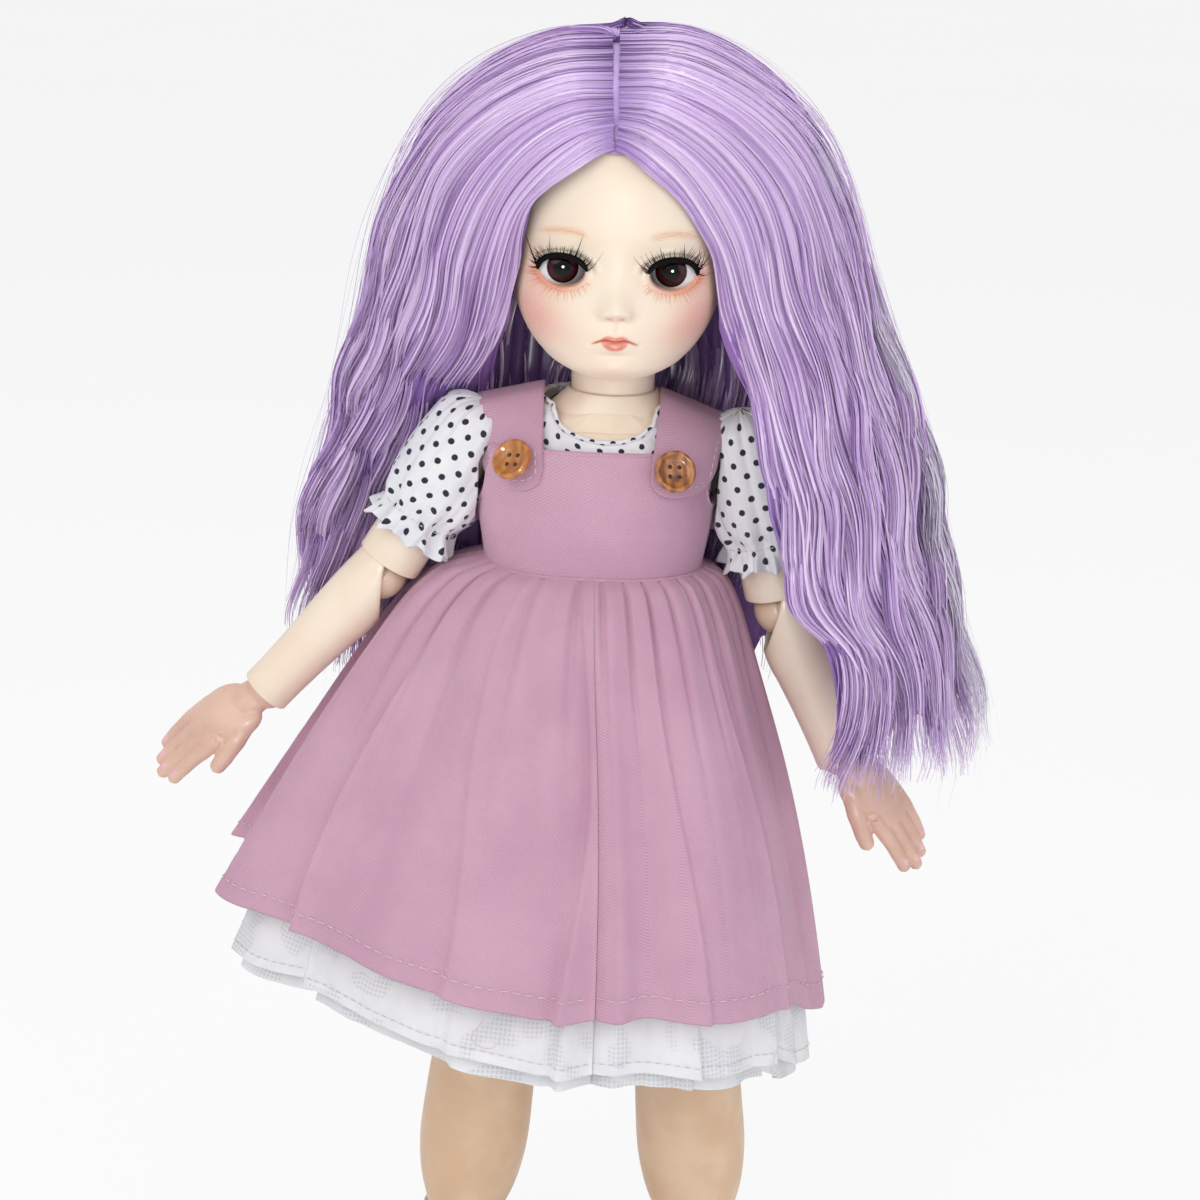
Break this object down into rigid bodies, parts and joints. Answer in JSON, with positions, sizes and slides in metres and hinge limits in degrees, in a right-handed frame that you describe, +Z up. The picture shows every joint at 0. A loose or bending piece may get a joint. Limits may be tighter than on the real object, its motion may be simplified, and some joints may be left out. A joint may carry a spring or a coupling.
{
  "type": "ball jointed doll",
  "caption": "Standing ball jointed doll with a long lilac wig, dotted puff-sleeve blouse, button pinafore, petticoat and ankle boots; its neck, waist, arms and legs turn and bend.",
  "frame": {"origin": "middle of the whole figure's footprint, on the floor under the soles", "axes": "+Z up along the standing figure; the face looks along -Y and the doll's own left is +X"},
  "size_m": [0.197, 0.1232, 0.3304],
  "materials": {
    "skin": "warm ivory doll skin, softly glossy",
    "joint_skin": "tan joint pieces, smooth",
    "leg_skin": "peach-tan doll skin, smooth",
    "hand_skin": "peach-tan hands with pink nails",
    "eye": "clear glossy eye with a dark maroon iris",
    "lash": "black lash strip",
    "hair": "shiny lavender synthetic hair",
    "blouse": "white cotton with small dark dots",
    "dress": "dusty mauve twill",
    "petticoat": "white cotton with an open weave check",
    "button": "caramel, glossy",
    "boot": "pale grey-white leather",
    "sole": "grey rubber"
  },
  "bodies": {
    "torso": {"torso": "skin", "blouse_body": "blouse", "dress_bodice": "dress", "strap_left": "dress", "strap_right": "dress", "button_left": "button", "button_right": "button"},
    "neck": {"neck": "skin"},
    "head": {"head_shell": "skin", "head_cap": "skin", "eye_left": "eye", "eye_right": "eye", "lash_left": "lash", "lash_right": "lash", "wig_crown": "hair", "hair_left": "hair", "hair_right": "hair", "hair_back": "hair"},
    "waist": {"waist_ball": "joint_skin"},
    "pelvis": {"pelvis": "skin", "skirt": "dress", "petticoat": "petticoat"},
    "shoulder_left": {"shoulder_peg_left": "joint_skin"},
    "upper_arm_left": {"upper_arm_left": "skin", "sleeve_left": "blouse"},
    "elbow_left": {"elbow_ball_left": "joint_skin"},
    "forearm_left": {"forearm_left": "skin"},
    "wrist_left": {"wrist_peg_left": "joint_skin"},
    "hand_left": {"hand_left": "hand_skin"},
    "hip_left": {"hip_peg_left": "joint_skin"},
    "thigh_left": {"thigh_left": "leg_skin"},
    "knee_left": {"knee_left": "joint_skin"},
    "calf_left": {"calf_left": "leg_skin", "boot_shaft_left": "boot"},
    "ankle_left": {"ankle_peg_left": "joint_skin"},
    "foot_left": {"foot_left": "leg_skin", "boot_upper_left": "boot", "boot_sole_left": "sole"},
    "shoulder_right": {"shoulder_peg_right": "joint_skin"},
    "upper_arm_right": {"upper_arm_right": "skin", "sleeve_right": "blouse"},
    "elbow_right": {"elbow_ball_right": "joint_skin"},
    "forearm_right": {"forearm_right": "skin"},
    "wrist_right": {"wrist_peg_right": "joint_skin"},
    "hand_right": {"hand_right": "hand_skin"},
    "hip_right": {"hip_peg_right": "joint_skin"},
    "thigh_right": {"thigh_right": "leg_skin"},
    "knee_right": {"knee_right": "joint_skin"},
    "calf_right": {"calf_right": "leg_skin", "boot_shaft_right": "boot"},
    "ankle_right": {"ankle_peg_right": "joint_skin"},
    "foot_right": {"foot_right": "leg_skin", "boot_upper_right": "boot", "boot_sole_right": "sole"}
  },
  "joints": [
    {"name": "neck_tilt", "type": "hinge", "parent": "torso", "child": "neck", "pos_m": [0.00945, 0.0049, 0.23945], "axis": [1, 0, 0], "range_deg": [-10, 10]},
    {"name": "head_turn", "type": "hinge", "parent": "neck", "child": "head", "pos_m": [0.00945, 0.0049, 0.25595], "axis": [0, 0, 1], "range_deg": [-60, 60], "deforming": ["hair_left", "hair_right", "hair_back"]},
    {"name": "waist_turn", "type": "hinge", "parent": "torso", "child": "waist", "pos_m": [0.00945, 0.0019, 0.19195], "axis": [0, 0, 1], "range_deg": [-15, 15]},
    {"name": "waist_bend", "type": "hinge", "parent": "waist", "child": "pelvis", "pos_m": [0.00945, 0.0019, 0.19195], "axis": [1, 0, 0], "range_deg": [-10, 10]},
    {"name": "shoulder_swing_left", "type": "hinge", "parent": "torso", "child": "shoulder_left", "pos_m": [0.04145, 0.0019, 0.23395], "axis": [-1, 0, 0], "range_deg": [-30, 80]},
    {"name": "arm_lift_left", "type": "hinge", "parent": "shoulder_left", "child": "upper_arm_left", "pos_m": [0.04145, 0.0019, 0.23395], "axis": [0, -1, 0], "range_deg": [-2, 71], "deforming": ["sleeve_left"]},
    {"name": "arm_turn_left", "type": "hinge", "parent": "upper_arm_left", "child": "elbow_left", "pos_m": [0.05161, 0.0019, 0.1932], "axis": [-0.2419, 0, 0.9703], "range_deg": [-60, 60]},
    {"name": "elbow_bend_left", "type": "hinge", "parent": "elbow_left", "child": "forearm_left", "pos_m": [0.05161, 0.0019, 0.1932], "axis": [0, 1, 0], "range_deg": [0, 26]},
    {"name": "wrist_turn_left", "type": "hinge", "parent": "forearm_left", "child": "wrist_left", "pos_m": [0.0682, 0.0019, 0.1568], "axis": [-0.4147, 0, 0.91], "range_deg": [-80, 80]},
    {"name": "wrist_bend_left", "type": "hinge", "parent": "wrist_left", "child": "hand_left", "pos_m": [0.0682, 0.0019, 0.1568], "axis": [0, -1, 0], "range_deg": [-40, 8]},
    {"name": "shoulder_swing_right", "type": "hinge", "parent": "torso", "child": "shoulder_right", "pos_m": [-0.02255, 0.0019, 0.23395], "axis": [-1, 0, 0], "range_deg": [-30, 80]},
    {"name": "arm_lift_right", "type": "hinge", "parent": "shoulder_right", "child": "upper_arm_right", "pos_m": [-0.02255, 0.0019, 0.23395], "axis": [0, 1, 0], "range_deg": [-19, 54], "deforming": ["sleeve_right"]},
    {"name": "arm_turn_right", "type": "hinge", "parent": "upper_arm_right", "child": "elbow_right", "pos_m": [-0.04418, 0.0019, 0.19795], "axis": [0.515, 0, 0.8572], "range_deg": [-60, 60]},
    {"name": "elbow_bend_right", "type": "hinge", "parent": "elbow_right", "child": "forearm_right", "pos_m": [-0.04418, 0.0019, 0.19795], "axis": [0, -1, 0], "range_deg": [0, 54]},
    {"name": "wrist_turn_right", "type": "hinge", "parent": "forearm_right", "child": "wrist_right", "pos_m": [-0.07069, 0.0019, 0.16799], "axis": [0.6626, 0, 0.749], "range_deg": [-80, 80]},
    {"name": "wrist_bend_right", "type": "hinge", "parent": "wrist_right", "child": "hand_right", "pos_m": [-0.07069, 0.0019, 0.16799], "axis": [0, 1, 0], "range_deg": [-35, 13]},
    {"name": "hip_swing_left", "type": "hinge", "parent": "pelvis", "child": "hip_left", "pos_m": [0.02595, 0.0019, 0.16495], "axis": [-1, 0, 0], "range_deg": [-15, 60], "deforming": ["skirt"]},
    {"name": "leg_spread_left", "type": "hinge", "parent": "hip_left", "child": "thigh_left", "pos_m": [0.02595, 0.0019, 0.16495], "axis": [0, -1, 0], "range_deg": [-3, 14.5]},
    {"name": "knee_upper_left", "type": "hinge", "parent": "thigh_left", "child": "knee_left", "pos_m": [0.03182, 0.0019, 0.10393], "axis": [0.9954, 0, 0.0958], "range_deg": [0, 55]},
    {"name": "knee_lower_left", "type": "hinge", "parent": "knee_left", "child": "calf_left", "pos_m": [0.03259, 0.0019, 0.09597], "axis": [0.9954, 0, 0.0958], "range_deg": [0, 55]},
    {"name": "ankle_turn_left", "type": "hinge", "parent": "calf_left", "child": "ankle_left", "pos_m": [0.03954, 0.0019, 0.0238], "axis": [-0.0958, 0, 0.9954], "range_deg": [-10, 10]},
    {"name": "ankle_bend_left", "type": "hinge", "parent": "ankle_left", "child": "foot_left", "pos_m": [0.03954, 0.0019, 0.0238], "axis": [0.9954, 0, 0.0958], "range_deg": [-18, 18], "deforming": ["boot_shaft_left"]},
    {"name": "hip_swing_right", "type": "hinge", "parent": "pelvis", "child": "hip_right", "pos_m": [-0.00705, 0.0019, 0.16495], "axis": [-1, 0, 0], "range_deg": [-15, 60], "deforming": ["petticoat"]},
    {"name": "leg_spread_right", "type": "hinge", "parent": "hip_right", "child": "thigh_right", "pos_m": [-0.00705, 0.0019, 0.16495], "axis": [0, 1, 0], "range_deg": [-3, 14.5]},
    {"name": "knee_upper_right", "type": "hinge", "parent": "thigh_right", "child": "knee_right", "pos_m": [-0.01293, 0.0019, 0.10393], "axis": [0.9954, 0, -0.0958], "range_deg": [0, 55]},
    {"name": "knee_lower_right", "type": "hinge", "parent": "knee_right", "child": "calf_right", "pos_m": [-0.01369, 0.0019, 0.09597], "axis": [0.9954, 0, -0.0958], "range_deg": [0, 55]},
    {"name": "ankle_turn_right", "type": "hinge", "parent": "calf_right", "child": "ankle_right", "pos_m": [-0.02064, 0.0019, 0.0238], "axis": [0.0958, 0, 0.9954], "range_deg": [-10, 10]},
    {"name": "ankle_bend_right", "type": "hinge", "parent": "ankle_right", "child": "foot_right", "pos_m": [-0.02064, 0.0019, 0.0238], "axis": [0.9954, 0, -0.0958], "range_deg": [-18, 18], "deforming": ["boot_shaft_right"]}
  ]
}
